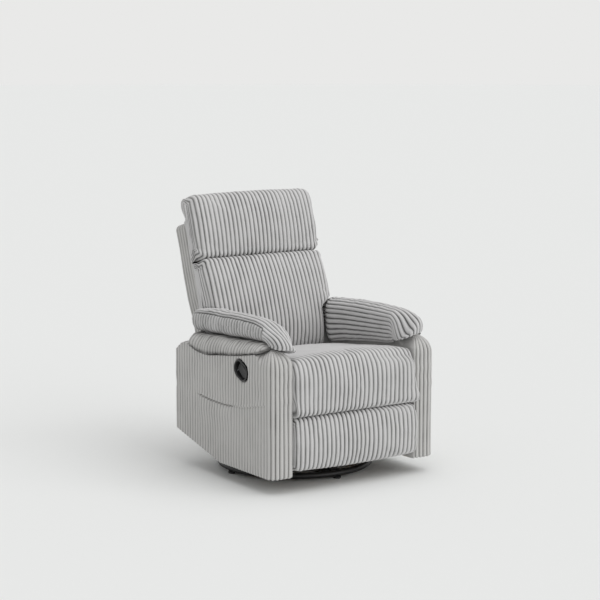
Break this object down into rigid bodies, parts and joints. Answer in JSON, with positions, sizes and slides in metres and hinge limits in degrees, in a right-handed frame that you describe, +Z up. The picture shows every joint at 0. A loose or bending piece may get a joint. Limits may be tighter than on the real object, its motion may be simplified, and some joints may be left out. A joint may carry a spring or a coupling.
{
  "type": "swivel rocker recliner",
  "caption": "Upholstered corduroy recliner with a leaning back, fold-out footrest, pillow-topped arms, release handle and side pocket, rocking and turning on a ring base.",
  "frame": {"origin": "on the floor, on the swivel axis, which is within 8 mm of the middle of the chair's length", "axes": "+X to the chair's right as seen from its front, -Y to the front, +Z up"},
  "size_m": [0.7628, 0.8802, 1.0624],
  "materials": {
    "corduroy": "wide-wale plush corduroy, light warm grey",
    "side_corduroy": "wide-wale plush corduroy on the arms' outer sides",
    "pocket_cloth": "plain woven lining",
    "black_paint": "satin black powder coat",
    "zinc": "zinc-plated pressed steel",
    "dark_steel": "oiled steel",
    "plywood": "raw birch plywood and pine",
    "hardwood": "oiled beech",
    "black_plastic": "fine-grained black moulding",
    "glide_plastic": "black nylon"
  },
  "bodies": {
    "base": {"base_ring": "black_paint", "base_cross_bars": "black_paint", "foot_glides": "glide_plastic", "lower_swivel_plate": "zinc", "bearing_balls": "zinc", "king_bolt": "zinc", "lower_plate_screws": "zinc"},
    "turntable": {"upper_swivel_plate": "zinc", "upper_plate_screws": "zinc", "rocker_cross_rails": "black_paint", "left_rocker_track": "hardwood", "right_rocker_track": "hardwood", "lower_spring_plates": "dark_steel", "rocker_springs": "dark_steel"},
    "chassis": {"upper_spring_plates": "dark_steel", "left_rocker_cam": "hardwood", "right_rocker_cam": "hardwood", "left_base_rail": "dark_steel", "right_base_rail": "dark_steel", "front_cross_tube": "black_paint", "rear_cross_tube": "black_paint", "arm_bolts": "zinc", "swing_base_rivets": "zinc", "left_arm_frame": "plywood", "right_arm_frame": "plywood", "left_arm_cover": "side_corduroy", "right_arm_cover": "side_corduroy", "left_arm_flange": "side_corduroy", "right_arm_flange": "side_corduroy", "left_arm_pillow": "corduroy", "right_arm_pillow": "corduroy", "handle_cup": "black_plastic", "handle_pin": "zinc", "pocket_pouch": "pocket_cloth"},
    "handle": {"handle_paddle": "black_plastic"},
    "front_swing": {"front_swing_links": "zinc"},
    "rear_swing": {"rear_swing_links": "zinc"},
    "seat": {"left_seat_plate": "dark_steel", "right_seat_plate": "dark_steel", "seat_rivets": "zinc", "seat_frame": "plywood", "seat_springs": "dark_steel", "seat_cushion": "corduroy", "back_hinge_pins": "zinc"},
    "backrest": {"back_frame": "plywood", "left_back_bracket": "dark_steel", "right_back_bracket": "dark_steel", "back_shell": "corduroy", "lower_back_pillow": "corduroy", "headrest_pillow": "corduroy"},
    "main_rear": {"main_rear_links": "zinc"},
    "second_rear": {"second_rear_links": "zinc"},
    "front": {"front_links": "zinc", "front_link_rivets": "dark_steel"},
    "control": {"control_links": "zinc", "control_rivets": "dark_steel"},
    "footrest": {"footrest_brackets": "dark_steel", "footrest_rivets": "dark_steel", "footrest_board": "plywood", "footrest_pad": "corduroy"}
  },
  "joints": [
    {"name": "swivel", "type": "hinge", "parent": "base", "child": "turntable", "pos_m": [0, 0, 0.039], "axis": [0, 0, 1], "continuous": true},
    {"name": "rock", "type": "hinge", "parent": "turntable", "child": "chassis", "pos_m": [0, 0, 0.1], "axis": [-1, 0, 0], "range_deg": [-7, 10], "stiffness_Nm_per_rad": 900, "springref_deg": 0.57, "deforming": ["rocker_springs"]},
    {"name": "handle_pull", "type": "hinge", "parent": "chassis", "child": "handle", "pos_m": [-0.371, -0.18442, 0.46155], "axis": [0, 0.6157, -0.788], "range_deg": [0, 30], "stiffness_Nm_per_rad": 0.6, "springref_deg": -11.46},
    {"name": "front_swing", "type": "hinge", "parent": "chassis", "child": "front_swing", "pos_m": [0, -0.06, 0.175], "axis": [1, 0, 0], "range_deg": [0, 35]},
    {"name": "seat_level", "type": "hinge", "parent": "front_swing", "child": "seat", "pos_m": [0, -0.04437, 0.26363], "axis": [1, 0, 0], "range_deg": [-35, 0]},
    {"name": "rear_swing", "type": "hinge", "parent": "chassis", "child": "rear_swing", "pos_m": [0, 0.085, 0.175], "axis": [1, 0, 0], "range_deg": [0, 35]},
    {"name": "recline", "type": "hinge", "parent": "seat", "child": "backrest", "pos_m": [0, 0.18, 0.375], "axis": [-1, 0, 0], "range_deg": [0, 38]},
    {"name": "footrest_open", "type": "hinge", "parent": "seat", "child": "main_rear", "pos_m": [0, -0.231, 0.279], "axis": [-1, 0, 0], "range_deg": [0, 90]},
    {"name": "second_rear_turn", "type": "hinge", "parent": "seat", "child": "second_rear", "pos_m": [0, -0.293, 0.283], "axis": [-1, 0, 0], "range_deg": [0, 90]},
    {"name": "front_link_level", "type": "hinge", "parent": "main_rear", "child": "front", "pos_m": [0, -0.18116, 0.07912], "axis": [-1, 0, 0], "range_deg": [-90, 0]},
    {"name": "control_level", "type": "hinge", "parent": "second_rear", "child": "control", "pos_m": [0, -0.25526, 0.13163], "axis": [-1, 0, 0], "range_deg": [-90, 0]},
    {"name": "footrest_turn", "type": "hinge", "parent": "front", "child": "footrest", "pos_m": [0, -0.332, 0.2], "axis": [-1, 0, 0], "range_deg": [0, 90]}
  ],
  "couplings": [
    {"joint": "front_swing", "follows": "recline", "ratio": 0.92105},
    {"joint": "seat_level", "follows": "recline", "ratio": -0.92105},
    {"joint": "rear_swing", "follows": "recline", "ratio": 0.92105},
    {"joint": "second_rear_turn", "follows": "footrest_open", "ratio": 1},
    {"joint": "front_link_level", "follows": "footrest_open", "ratio": -1},
    {"joint": "control_level", "follows": "footrest_open", "ratio": -1},
    {"joint": "footrest_turn", "follows": "footrest_open", "ratio": 1}
  ]
}
